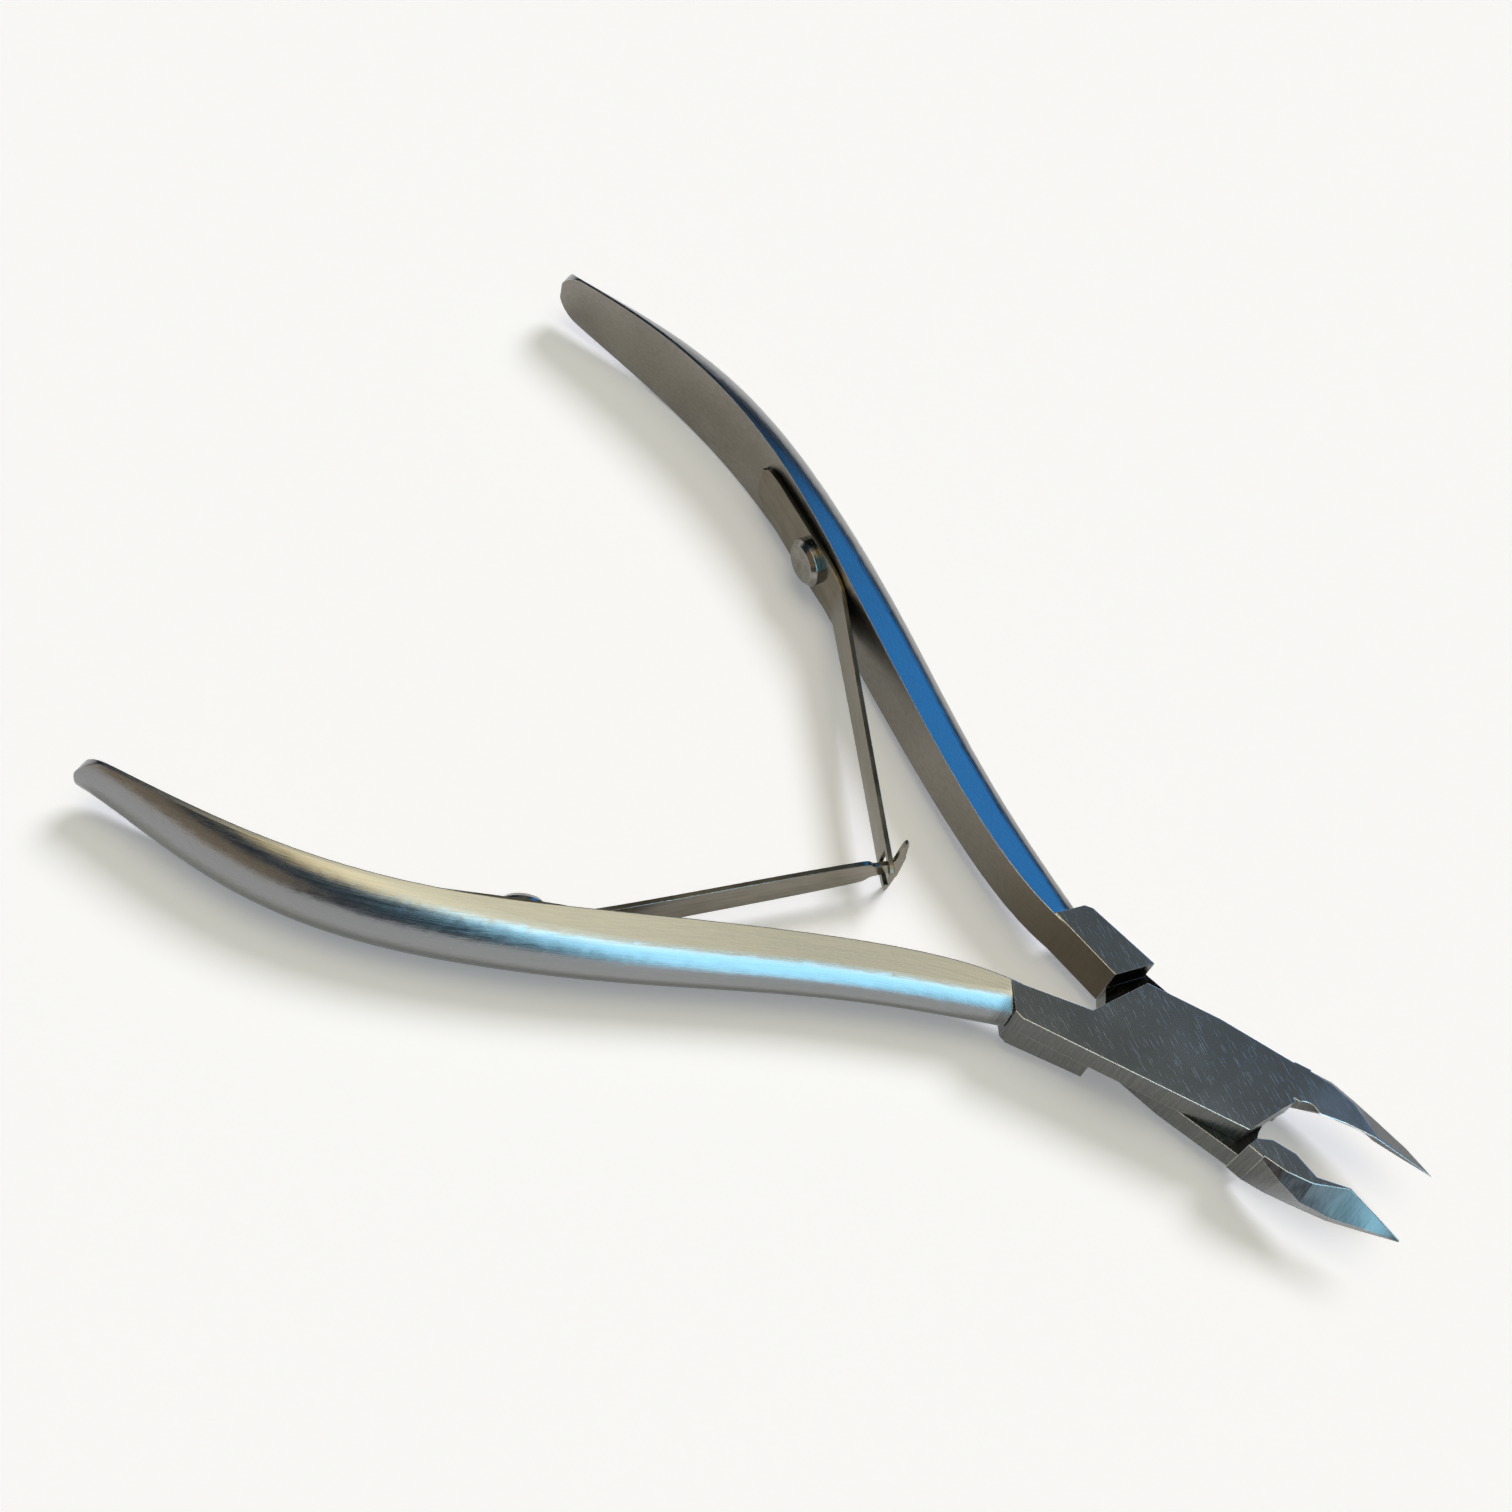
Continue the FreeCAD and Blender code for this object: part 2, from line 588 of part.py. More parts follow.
def build_leaf(lever):
    """One leaf: pad on the grip, a bend, and an arm to the crossing on the centre line."""
    side = {"rear": 1, "front": -1}[lever]
    body = doc.addObject("PartDesign::Body", lever + "_spring")
    body.Label = lever + "_spring"
    thick = SIZES["leaf_thickness"]
    start, finish = chord(side)
    inward = gap_normal(side)
    start += inward * SIZES["leaf_seat_gap"]
    finish += inward * SIZES["leaf_seat_gap"]
    share = (SIZES["leaf_bend_x"] - start.x) / (finish.x - start.x)
    bend = start + (finish - start) * share
    bend_inner = bend + inward * thick
    crossing = FreeCAD.Vector(SIZES["leaf_cross_x"], 0, 0)
    arm = (crossing - (bend + inward * (thick / 2))).normalize()
    reach = SIZES["leaf_fork_reach"] if lever == "rear" else SIZES["leaf_ear_end"]
    tip = crossing + arm * (reach / arm.x)
    arm_side = FreeCAD.Vector(arm.y, -arm.x, 0) * side * (thick / 2)
    strip = new_sketch(body, "XY_Plane", "leaf_plan")
    corners = [
        ("pad_outer", start), ("bend_outer", bend), ("tip_outer", tip - arm_side),
        ("tip_inner", tip + arm_side), ("bend_inner", bend_inner),
        ("pad_inner", start + inward * thick),
    ]
    outline(strip, [(name, fixed(point.x), fixed(point.y)) for name, point in corners])
    width = max(SIZES["leaf_pad_width"], SIZES["leaf_ear_span"])
    width_text = f"max({cell('leaf_pad_width')}; {cell('leaf_ear_span')})"
    start_text = f"{cell('joint_thickness')} / 2 - {width_text} / 2"
    pad(body, strip, "leaf", (width, width_text), start_text)
    trim_leaf(body, lever)
    drill_leaf(body, side)
    return body


def leaf_widths(lever):
    """Half widths of the leaf against X, from the pad's end to the free end."""
    pad_half = SIZES["leaf_pad_width"] / 2
    cross = SIZES["leaf_cross_x"]
    neck = SIZES["leaf_neck_width"] / 2
    first = [
        (SIZES["grip3_x"] - 1.0, pad_half * 0.7), (SIZES["grip3_x"], pad_half * 0.78),
        (SIZES["grip3_x"] + 1.6, pad_half), (SIZES["rivet_x"] + 2.6, pad_half),
        (SIZES["leaf_bend_x"] + 0.8, SIZES["leaf_root_width"] / 2),
    ]
    tip_half = SIZES["leaf_tip_width"] / 2
    if lever == "rear":
        end = cross + SIZES["leaf_fork_reach"]
        return first + [(cross - 1.6, tip_half), (end - 0.3, tip_half), (end + 1.0, tip_half * 0.45)]
    ear = SIZES["leaf_ear_span"] / 2
    start = cross + SIZES["leaf_ear_start"]
    end = cross + SIZES["leaf_ear_end"]
    return first + [
        (cross - 2.0, tip_half), (cross - SIZES["leaf_neck_reach"], neck), (start, neck),
        (start + 0.02, ear * 0.86), (start + 0.2, ear), (start + 0.4, ear * 0.86),
        (end + 0.02, neck * 1.6), (end + 1.0, neck * 1.6),
    ]


def trim_leaf(body, lever):
    """Cut the strip to its width on both sides of the middle, and the fork's slot."""
    middle = SIZES["joint_thickness"] / 2
    widths = leaf_widths(lever)
    beyond = SIZES["leaf_ear_span"]
    waste = new_sketch(body, "XZ_Plane", "leaf_waste")
    for sign, word in ((1, "over"), (-1, "under")):
        corners = [
            (f"{word}{index}", fixed(along), (middle + sign * half,
             f"{cell('joint_thickness')} / 2 + {sign * half:.4f}"))
            for index, (along, half) in enumerate(widths)
        ]
        corners.append((f"{word}_end", fixed(widths[-1][0]), fixed(middle + sign * beyond)))
        corners.append((f"{word}_start", fixed(widths[0][0]), fixed(middle + sign * beyond)))
        outline(waste, corners)
    pocket(body, waste, "leaf_trim")
    if lever == "front":
        return
    slot = new_sketch(body, "XZ_Plane", "fork_slot")
    half = SIZES["leaf_neck_width"] / 2 + SIZES["leaf_slot_clearance"]
    start = SIZES["leaf_cross_x"] - SIZES["leaf_neck_reach"]
    end = SIZES["leaf_cross_x"] + 2.0
    middle_text = f"{cell('joint_thickness')} / 2"
    half_text = f"({cell('leaf_neck_width')} / 2 + {cell('leaf_slot_clearance')})"
    outline(
        slot,
        [
            ("root_low", fixed(start), (middle - half, f"{middle_text} - {half_text}")),
            ("mouth_low", fixed(end), (middle - half, f"{middle_text} - {half_text}")),
            ("mouth_high", fixed(end), (middle + half, f"{middle_text} + {half_text}")),
            ("root_high", fixed(start), (middle + half, f"{middle_text} + {half_text}")),
        ],
    )
    pocket(body, slot, "fork")


def drill_leaf(body, side):
    """Clearance hole for the rivet's shank."""
    normal = gap_normal(side)
    tool = body.newObject("PartDesign::SubtractiveCylinder", "rivet_hole")
    tool.Radius = SIZES["rivet_shank_radius"] + SIZES["rivet_hole_clearance"]
    tool.setExpression("Radius", f"{cell('rivet_shank_radius')} + {cell('rivet_hole_clearance')}")
    tool.Height = 3
    middle = FreeCAD.Vector(0, 0, SIZES["joint_thickness"] / 2)
    base = seat_point(side) + middle - normal
    tool.AttachmentSupport = (origin_plane(body, "XY_Plane"), [""])
    tool.MapMode = "FlatFace"
    tool.AttachmentOffset = FreeCAD.Placement(base, FreeCAD.Rotation(FreeCAD.Vector(0, 0, 1), normal))
    before = body.Shape.Volume
    doc.recompute()
    if body.Shape.Volume > before - 1e-3:
        raise RuntimeError("the leaf's hole removed nothing")


def turned_body(name, profile):
    """Revolve a closed (label, radius, height) profile about the body's own Z axis."""
    body = doc.addObject("PartDesign::Body", name)
    body.Label = name
    sketch = new_sketch(body, "XZ_Plane", name + "_profile")
    outline(sketch, profile)
    turn = body.newObject("PartDesign::Revolution", name + "_turned")
    turn.Profile = sketch
    turn.ReferenceAxis = (sketch, ["V_Axis"])
    turn.Angle = 360
    doc.recompute()
    return body


def build_spring_rivet(lever):
    """Flat-topped head with a bevelled rim, on a shank set blind into the grip."""
    side = {"rear": 1, "front": -1}[lever]
    depth = SIZES["rivet_shank_depth"]
    shank = (SIZES["rivet_shank_radius"], cell("rivet_shank_radius"))
    head = (SIZES["rivet_head_radius"], cell("rivet_head_radius"))
    flat = (
        SIZES["rivet_head_radius"] - SIZES["rivet_head_bevel"],
        f"{cell('rivet_head_radius')} - {cell('rivet_head_bevel')}",
    )
    low = (-depth, f"-{cell('rivet_shank_depth')}")
    seat_text = f"{cell('leaf_thickness')} + {cell('leaf_seat_gap')}"
    seat = (SIZES["leaf_thickness"] + SIZES["leaf_seat_gap"], seat_text)
    top_text = f"{seat_text} + {cell('rivet_head_height')}"
    top = (seat[0] + SIZES["rivet_head_height"], top_text)
    rim_text = f"{top_text} - {cell('rivet_head_bevel')}"
    rim = (top[0] - SIZES["rivet_head_bevel"], rim_text)
    body = turned_body(
        lever + "_spring_rivet",
        [
            ("foot", fixed(0), low), ("shank_foot", shank, low), ("shank_top", shank, seat),
            ("seat_edge", head, seat), ("rim", head, rim), ("flat_edge", flat, top),
            ("crown", fixed(0), top),
        ],
    )
    normal = gap_normal(side)
    middle = FreeCAD.Vector(0, 0, SIZES["joint_thickness"] / 2)
    rotation = FreeCAD.Rotation(FreeCAD.Vector(0, 0, 1), normal)
    body.Placement = FreeCAD.Placement(seat_point(side) + middle, rotation)
    return body


def build_pivot_rivet():
    """Countersunk rivet through the rear plate, pressed into the front one's blind bore."""
    shank = (SIZES["pivot_radius"], cell("pivot_radius"))
    head = (SIZES["pivot_head_radius"], cell("pivot_head_radius"))
    neck = (SIZES["pivot_head_depth"], cell("pivot_head_depth"))
    top = pivot_reach()
    return turned_body(
        "pivot_rivet",
        [
            ("foot", fixed(0), fixed(0)), ("head_rim", head, fixed(0)), ("neck", shank, neck),
            ("top_edge", shank, top), ("crown", fixed(0), top),
        ],
    )


def check_and_export(bodies):
    """Stop on any failed object, then write one STEP file for each piece."""
    doc.recompute()
    failed = [o.Name for o in doc.Objects if "Invalid" in o.State or "Error" in o.State]
    if failed:
        raise RuntimeError(f"failed objects: {failed}")
    for body in bodies:
        shape = body.Shape
        if shape.isNull() or not shape.isValid() or len(shape.Solids) != 1:
            raise RuntimeError(f"{body.Label} is not one valid solid")
    os.makedirs("parts", exist_ok=True)
    for body in bodies:
        body.Shape.exportStep(os.path.join("parts", body.Label + ".step"))
        box = body.Shape.BoundBox
        print(f"{body.Label}: {box.XLength:.2f} x {box.YLength:.2f} x {box.ZLength:.2f} mm,"
              f" {body.Shape.Volume:.1f} mm3")


pieces = [build_lever("front"), build_lever("rear"), build_pivot_rivet()]
for which in ("front", "rear"):
    pieces.append(build_leaf(which))
    pieces.append(build_spring_rivet(which))
check_and_export(pieces)
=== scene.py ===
# %% [markdown]
# # Sprue nippers in ground stainless steel
# A small cutter that frees plastic parts from their runners. Two forged levers lap over each
# other and turn on a rivet that is hidden in the joint, two sprung leaves hook into each other
# between the grips, and the jaws end in short ground edges. This lesson dresses the seven packed
# solids: it sets the camera and the studio, writes the steel finishes, with their painted shade
# and highlights, as shader arithmetic, and builds the sprung leaves.

# %% Load the imported tool
import math

import bpy
from mathutils import Matrix, Vector


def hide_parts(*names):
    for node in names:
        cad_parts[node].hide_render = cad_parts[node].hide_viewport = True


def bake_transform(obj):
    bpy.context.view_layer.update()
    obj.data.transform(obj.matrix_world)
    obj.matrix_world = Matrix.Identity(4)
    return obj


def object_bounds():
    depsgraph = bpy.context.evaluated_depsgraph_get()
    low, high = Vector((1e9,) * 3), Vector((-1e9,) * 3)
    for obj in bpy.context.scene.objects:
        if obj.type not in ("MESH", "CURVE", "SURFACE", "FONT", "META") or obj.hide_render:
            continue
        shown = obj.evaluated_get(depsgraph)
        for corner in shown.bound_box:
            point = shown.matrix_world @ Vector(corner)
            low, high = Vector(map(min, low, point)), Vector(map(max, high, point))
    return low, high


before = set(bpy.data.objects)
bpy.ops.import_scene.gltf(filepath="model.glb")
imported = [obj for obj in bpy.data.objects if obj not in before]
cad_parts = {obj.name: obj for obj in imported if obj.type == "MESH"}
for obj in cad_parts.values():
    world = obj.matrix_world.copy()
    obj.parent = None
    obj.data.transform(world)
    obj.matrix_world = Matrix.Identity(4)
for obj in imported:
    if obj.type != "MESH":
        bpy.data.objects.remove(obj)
CAD_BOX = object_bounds()
MM = 0.001
print("nodes:", sorted(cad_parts))

# %% [markdown]
# ## The camera
# A hand-held tool is usually seen from above and slightly rolled. The camera could be placed by
# eye, but a turn, a height and a roll about a fixed target are easier to change one at a time,
# so its three axes are worked out from those angles and written straight into its matrix.

# %% Camera from turn, height and roll
CAMERA_TURN = math.radians(15.884)
CAMERA_HEIGHT = math.radians(58.75)
CAMERA_ROLL = math.radians(19.67)
CAMERA_DISTANCE = 0.18914
CAMERA_TARGET = Vector((-0.0390, 0.003467, 0.0))
LENS_MM = 54.07
SENSOR_MM = 36.0
NEAREST, FARTHEST = 0.001, 50.0


def camera_axes(turn, height, roll):
    """Right, up and back axes of a camera that looks at the origin."""
    back = Vector((
        math.sin(turn) * math.cos(height),
        -math.cos(turn) * math.cos(height),
        math.sin(height),
    ))
    level_right = Vector((math.cos(turn), math.sin(turn), 0.0))
    level_up = back.cross(level_right)
    right = math.cos(roll) * level_right + math.sin(roll) * level_up
    up = math.cos(roll) * level_up - math.sin(roll) * level_right
    return right, up, back


def make_camera():
    data = bpy.data.cameras.new("bench_camera")
    data.lens = LENS_MM
    data.sensor_width = SENSOR_MM
    data.clip_start = NEAREST
    data.clip_end = FARTHEST
    camera = bpy.data.objects.new("bench_camera", data)
    bpy.context.scene.collection.objects.link(camera)
    right, up, back = camera_axes(CAMERA_TURN, CAMERA_HEIGHT, CAMERA_ROLL)
    place = CAMERA_TARGET + back * CAMERA_DISTANCE
    rotation = Matrix((right, up, back)).transposed().to_4x4()
    camera.matrix_world = Matrix.Translation(place) @ rotation
    bpy.context.scene.camera = camera
    return place


print("camera at", [round(v, 4) for v in make_camera()])

# %% [markdown]
# ## Shader arithmetic
# Wiring Math nodes by hand hides the formula. Here a small class wraps an output socket and
# overloads Python's operators, so that `1 - mask * 0.3` adds its own nodes. Every other kind of
# node comes from one method, which sets the node's options first and then its sockets.

# %% Sockets that do sums


class Wire:
    """An output socket that can stand in a Python sum."""

    def __init__(self, graph, socket):
        self.graph = graph
        self.socket = socket

    def __add__(self, other):
        return self.graph.math("ADD", self, other)

    def __sub__(self, other):
        return self.graph.math("SUBTRACT", self, other)

    def __rsub__(self, other):
        return self.graph.math("SUBTRACT", other, self)

    def __mul__(self, other):
        return self.graph.math("MULTIPLY", self, other)

    def __truediv__(self, other):
        return self.graph.math("DIVIDE", self, other)

    def __gt__(self, other):
        return self.graph.math("GREATER_THAN", self, other)

    def __lt__(self, other):
        return self.graph.math("LESS_THAN", self, other)

    def __abs__(self):
        return self.graph.math("ABSOLUTE", self)

    __radd__ = __add__
    __rmul__ = __mul__


class Graph:
    """A node tree that hands out wires."""

    def __init__(self, tree):
        self.tree = tree
        tree.nodes.clear()

    def node(self, kind, options=None, inputs=None, output=0):
        """Add a node, set its options, then its sockets, and hand out one of its outputs."""
        made = self.tree.nodes.new(kind)
        for name, value in (options or {}).items():
            if name == "stops":
                self.set_stops(made.color_ramp, value)
            elif name == "curve":
                self.set_curve(made.mapping, value)
            else:
                setattr(made, name, value)
        for name, value in (inputs or {}).items():
            socket = made.inputs[name]
            if isinstance(value, Wire):
                self.tree.links.new(value.socket, socket)
            else:
                socket.default_value = value
        return Wire(self, made.outputs[output]) if made.outputs else made

    def several(self, kind, outputs, inputs=None):
        """One node with several outputs in use, such as the three parts of a vector."""
        first = self.node(kind, None, inputs, outputs[0])
        made = first.socket.node
        return [Wire(self, made.outputs[name]) for name in outputs]

    def set_stops(self, ramp, stops):
        """Give a colour ramp its stops, each a place from 0 to 1 and a colour."""
        while len(ramp.elements) < len(stops):
            ramp.elements.new(0.5)
        for element, (place, shade) in zip(ramp.elements, stops):
            element.position = place
            element.color = shade

    def set_curve(self, mapping, points):
        """Give a Float Curve its points, each both ways from 0 to 1."""
        line = mapping.curves[0].points
        while len(line) < len(points):
            line.new(0.5, 0.5)
        for point, place in zip(line, points):
            point.location = place
        mapping.update()

    def math(self, operation, *values):
        """A Math node on numbers and wires."""
        return self.node("ShaderNodeMath", {"operation": operation}, dict(enumerate(values)))

    def mix(self, share, first, second):
        """Blend two colours by a share from 0 to 1."""
        return self.node(
            "ShaderNodeMix", {"data_type": "RGBA"}, {0: share, 6: first, 7: second}, 2
        )

    def range(self, value, low, high, to_low=0.0, to_high=1.0):
        """Carry a value smoothly from one range to another and stop at its ends."""
        return self.node(
            "ShaderNodeMapRange", {"interpolation_type": "SMOOTHSTEP"},
            {0: value, 1: low, 2: high, 3: to_low, 4: to_high},
        )

    def noise(self, place, stretch, detail=3.0, rough=0.55, turn=(0.0, 0.0, 0.0)):
        """Noise on a place; stretch is how many cycles fit in one unit of it, each way."""
        moved = self.node(
            "ShaderNodeMapping", {"vector_type": "POINT"},
            {"Vector": place, "Rotation": turn},
        )
        scaled = self.node(
            "ShaderNodeVectorMath", {"operation": "MULTIPLY"}, {0: moved, 1: stretch}
        )
        return self.node(
            "ShaderNodeTexNoise", {"noise_dimensions": "3D"},
            {"Vector": scaled, "Scale": 1.0, "Detail": detail, "Roughness": rough},
        )


print("shader arithmetic ready")

# %% [markdown]
# ## Floor and studio
# Polished steel shows the room more than its own colour. A white tent would wash it out, and one
# lamp would leave it black. So the room is built in bands of height: a pale floor, a pale
# horizon, dim walls and a warm bright ceiling. Four large soft panels stand in it for the steel
# to show: a cool window, a warm wall, a brown one and a blue screen. The panels light nothing
# matte, so one far soft lamp lights the floor and casts the tool's shadow on it. The camera sees
# a plain pale backdrop above the floor, while the steel shows the room.

# %% Floor
FLOOR_HALF = 3.0
FLOOR_GAP = 0.00002
FLOOR_COLOUR = (0.93, 0.93, 0.93, 1.0)
FLOOR_GRAIN = (0.84, 0.84, 0.85, 1.0)
FLOOR_GRAIN_SHARE = 0.08
# the floor's own place is in metres
FLOOR_CYCLES = (40.0, 40.0, 40.0)
FLOOR_LIFT = 0.24
SEEING_RAYS = ("Is Camera Ray", "Is Glossy Ray", "Is Transmission Ray")


def make_floor():
    """A matte sheet just under the tool, lifted to near white for rays that see it."""
    level = CAD_BOX[0][2] - FLOOR_GAP
    corners = [(-1, -1), (1, -1), (1, 1), (-1, 1)]
    mesh = bpy.data.meshes.new("studio_floor")
    points = [(x * FLOOR_HALF, y * FLOOR_HALF, level) for x, y in corners]
    mesh.from_pydata(points, [], [(0, 1, 2, 3)])
    floor = bpy.data.objects.new("studio_floor", mesh)
    bpy.context.scene.collection.objects.link(floor)
    material = bpy.data.materials.new("pale_floor")
    material.use_nodes = True
    graph = Graph(material.node_tree)
    place = graph.node("ShaderNodeTexCoord", output="Object")
    grain = graph.noise(place, FLOOR_CYCLES, 2.0)
    shade = graph.mix(grain * FLOOR_GRAIN_SHARE, FLOOR_COLOUR, FLOOR_GRAIN)
    camera_ray, glossy_ray, through_ray = graph.several("ShaderNodeLightPath", SEEING_RAYS)
    seen = camera_ray + glossy_ray + through_ray
    matte = graph.node(
        "ShaderNodeBsdfPrincipled", None,
        {"Base Color": shade, "Roughness": 1.0, "Specular IOR Level": 0.0},
    )
    white = {"Color": (1.0, 1.0, 1.0, 1.0), "Strength": seen * FLOOR_LIFT}
    glow = graph.node("ShaderNodeEmission", None, white)
    both = graph.node("ShaderNodeAddShader", None, {0: matte, 1: glow})
    graph.node("ShaderNodeOutputMaterial", None, {"Surface": both})
    mesh.materials.append(material)
    return level


print("floor at", round(make_floor() / MM, 2), "mm")

# %% World: pale horizon, dim walls, warm ceiling
ZENITH = 90.0
# height above the horizon in degrees, and the room's colour there
ROOM_BANDS = [
    (0.0, (0.90, 0.91, 0.93)),
    (1.5, (0.86, 0.88, 0.91)),
    (5.5, (0.035, 0.045, 0.06)),
    (50.0, (0.03, 0.055, 0.09)),
    (56.0, (0.16, 0.19, 0.20)),
    (63.0, (0.18, 0.19, 0.18)),
    (68.0, (0.75, 0.70, 0.54)),
    (76.0, (2.20, 2.02, 1.45)),
    (ZENITH, (2.90, 2.62, 1.80)),
]
BACKDROP = (0.945, 0.94, 0.915, 1.0)


def make_world():
    """Colour the world by height for reflections, and plainly for the camera."""
    world = bpy.data.worlds.new("studio_room")
    bpy.context.scene.world = world
    world.use_nodes = True
    graph = Graph(world.node_tree)
    direction = graph.node("ShaderNodeTexCoord", output="Generated")
    rise = graph.several("ShaderNodeSeparateXYZ", ("X", "Y", "Z"), {0: direction})[2]
    share = graph.math("ARCSINE", rise) / (math.pi / 2)
    stops = [(height / ZENITH, colour + (1.0,)) for height, colour in ROOM_BANDS]
    colour = graph.node("ShaderNodeValToRGB", {"stops": stops}, {0: share})
    seen = graph.node("ShaderNodeLightPath", output="Is Camera Ray")
    colour = graph.mix(seen, colour, BACKDROP)
    sky = graph.node("ShaderNodeBackground", None, {"Color": colour, "Strength": 1.0})
    graph.node("ShaderNodeOutputWorld", None, {"Surface": sky})


make_world()
bpy.context.scene.view_settings.view_transform = "Standard"
print("room bands:", len(ROOM_BANDS))

# %% Soft panels
# how far the panels stand from the tool, in metres
PANEL_RANGE = 0.7
ROOM_CENTRE = Vector((-0.03, 0.0, 0.0))
# name: turn from +Y towards +X, height, wide, high (degrees), colour, brightness
PANELS = {
    "cool_window": (128.0, 35.0, 30.0, 68.0, (0.38, 0.78, 1.0), 4.4),
    "warm_wall": (184.0, 68.0, 44.0, 22.0, (1.0, 0.74, 0.32), 1.3),
    "brown_wall": (206.0, 16.0, 52.0, 30.0, (1.0, 0.74, 0.42), 0.42),
    "blue_screen": (24.0, 37.5, 42.0, 27.0, (0.03, 0.37, 1.0), 1.5),
}


def point_from(turn, height):
    """The direction from the tool to a turn from +Y and a height, both in radians."""
    level = math.cos(height)
    return Vector((math.sin(turn) * level, math.cos(turn) * level, math.sin(height)))


def make_panel(name, turn, height, wide, high, colour, brightness):
    """One soft panel that faces the tool; its power follows from its brightness and area."""
    way = point_from(math.radians(turn), math.radians(height))
    data = bpy.data.lights.new(name, "AREA")
    data.shape = "RECTANGLE"
    data.size = 2.0 * PANEL_RANGE * math.tan(math.radians(wide / 2))
    data.size_y = 2.0 * PANEL_RANGE * math.tan(math.radians(high / 2))
    data.color = colour
    data.energy = brightness * math.pi * data.size * data.size_y
    panel = bpy.data.objects.new(name, data)
    bpy.context.scene.collection.objects.link(panel)
    panel.location = ROOM_CENTRE + way * PANEL_RANGE
    panel.rotation_euler = way.to_track_quat("Z", "Y").to_euler()
    panel.visible_camera = False
    panel.visible_diffuse = False
    return panel


for panel_name, settings in PANELS.items():
    made = make_panel(panel_name, *settings)
    print(panel_name, "power", round(made.data.energy, 2), "W")

# %% Lamp for the floor
FLOOR_LAMP_TURN = math.radians(12.0)
FLOOR_LAMP_RISE = math.radians(52.0)
FLOOR_LAMP_SPREAD = math.radians(24.0)
FLOOR_LAMP_STRENGTH = 1.78
FLOOR_LAMP_COLOUR = (0.935, 0.93, 1.0)


def make_floor_lamp():
    """A far soft lamp behind the tool for matte things. The steel doesn't show it."""
    way = point_from(FLOOR_LAMP_TURN, FLOOR_LAMP_RISE)
    data = bpy.data.lights.new("floor_lamp", "SUN")
    data.angle = FLOOR_LAMP_SPREAD
    data.energy = FLOOR_LAMP_STRENGTH
    data.color = FLOOR_LAMP_COLOUR
    lamp = bpy.data.objects.new("floor_lamp", data)
    bpy.context.scene.collection.objects.link(lamp)
    lamp.location = ROOM_CENTRE + way
    lamp.rotation_euler = way.to_track_quat("Z", "Y").to_euler()
    lamp.visible_glossy = False


make_floor_lamp()
print("floor lamp strength", FLOOR_LAMP_STRENGTH)

# %% [markdown]
# ## Lever steel
# A forging like this carries four finishes. The rounded back of the grip is satin, with long
# fine lines. Its flat inner face is duller and a little brown. The lapped joint is polished
# flat and carries stray scratches, and the joint's edges show the marks of the grinding wheel,
# straight up and down. Each finish is a set of noises stretched along its own direction, and the
# surface's own place and direction choose between them. Shade and highlight are painted into the
# colour as well: the grip's underside, the joint's side walls, the jaw bevels, the lapped ledge
# and its corners, and the inner face towards the joint are painted darker as shade, and the
# edges carry a painted highlight.

# %% Where the grip's inner face runs
GRIP_END = -80.0
GRIP_RISE = 32.0
# along the tool and out from its centre line, in millimetres
INNER_FACE = [
    (-79.3, 31.75), (-63.5, 29.7), (-53.4, 26.3), (-41.6, 19.75),
    (-31.0, 13.1), (-21.5, 7.6), (-14.8, 4.55), (-9.9, 3.3), (0.0, 2.2),
]
FACE_CURVE = [((x - GRIP_END) / -GRIP_END, y / GRIP_RISE) for x, y in INNER_FACE]


def across_grip(graph, along, across, side):
    """Distance from the grip's inner face, so that a pattern follows its bend."""
    share = (along - GRIP_END) / -GRIP_END
    face = graph.node("ShaderNodeFloatCurve", {"curve": FACE_CURVE}, {"Value": share})
    return across * side - face * GRIP_RISE


# %% Lever steel material
SATIN = (0.30, 0.305, 0.31, 1.0)
SATIN_DARK = (0.23, 0.235, 0.24, 1.0)
# painted shade: the grip's satin colour where its surface faces down
SATIN_PAINTED_UNDERSHADE = (0.15, 0.155, 0.16, 1.0)
INNER = (0.29, 0.27, 0.24, 1.0)
INNER_DARK = (0.21, 0.19, 0.165, 1.0)
# painted shade: the inner face turns dark brown towards the joint, where the grips close in
INNER_JOINT_SHADE = (0.085, 0.062, 0.034, 1.0)
FLAT = (0.38, 0.39, 0.395, 1.0)
FLAT_DARK = (0.31, 0.32, 0.325, 1.0)
# painted shade: the joint's side walls are painted far darker than the flats; the pair carries the
# wheel marks
WALL_SHADED = (0.17, 0.175, 0.175, 1.0)
WALL_SHADED_DARK = (0.135, 0.14, 0.14, 1.0)
# painted shade: the jaw bevels are darker than the flats, the rear pair warm against the cool
# window it shows, the front lever's pair darker still
BEVEL = (0.14, 0.115, 0.11, 1.0)
BEVEL_SHADED_DARK = (0.092, 0.075, 0.072, 1.0)
FAR_BEVEL_SHADED = (0.078, 0.088, 0.102, 1.0)
FAR_BEVEL_SHADED_DARK = (0.052, 0.060, 0.070, 1.0)
# painted shade: the exposed lap ledge and the corner faces near the joint, nearly black, lighter
# along the scratch and cloud noises
LAP_PAINTED_SHADE = (0.10, 0.085, 0.065, 1.0)
LAP_PAINTED_SHADE_DARK = (0.02, 0.018, 0.015, 1.0)
# painted highlight: a light colour laid along every softened edge
EDGE_PAINTED_HIGHLIGHT = (0.62, 0.63, 0.65, 1.0)
BEVEL_RADIUS = 0.11 * MM
MARK_DEPTH = 0.012 * MM
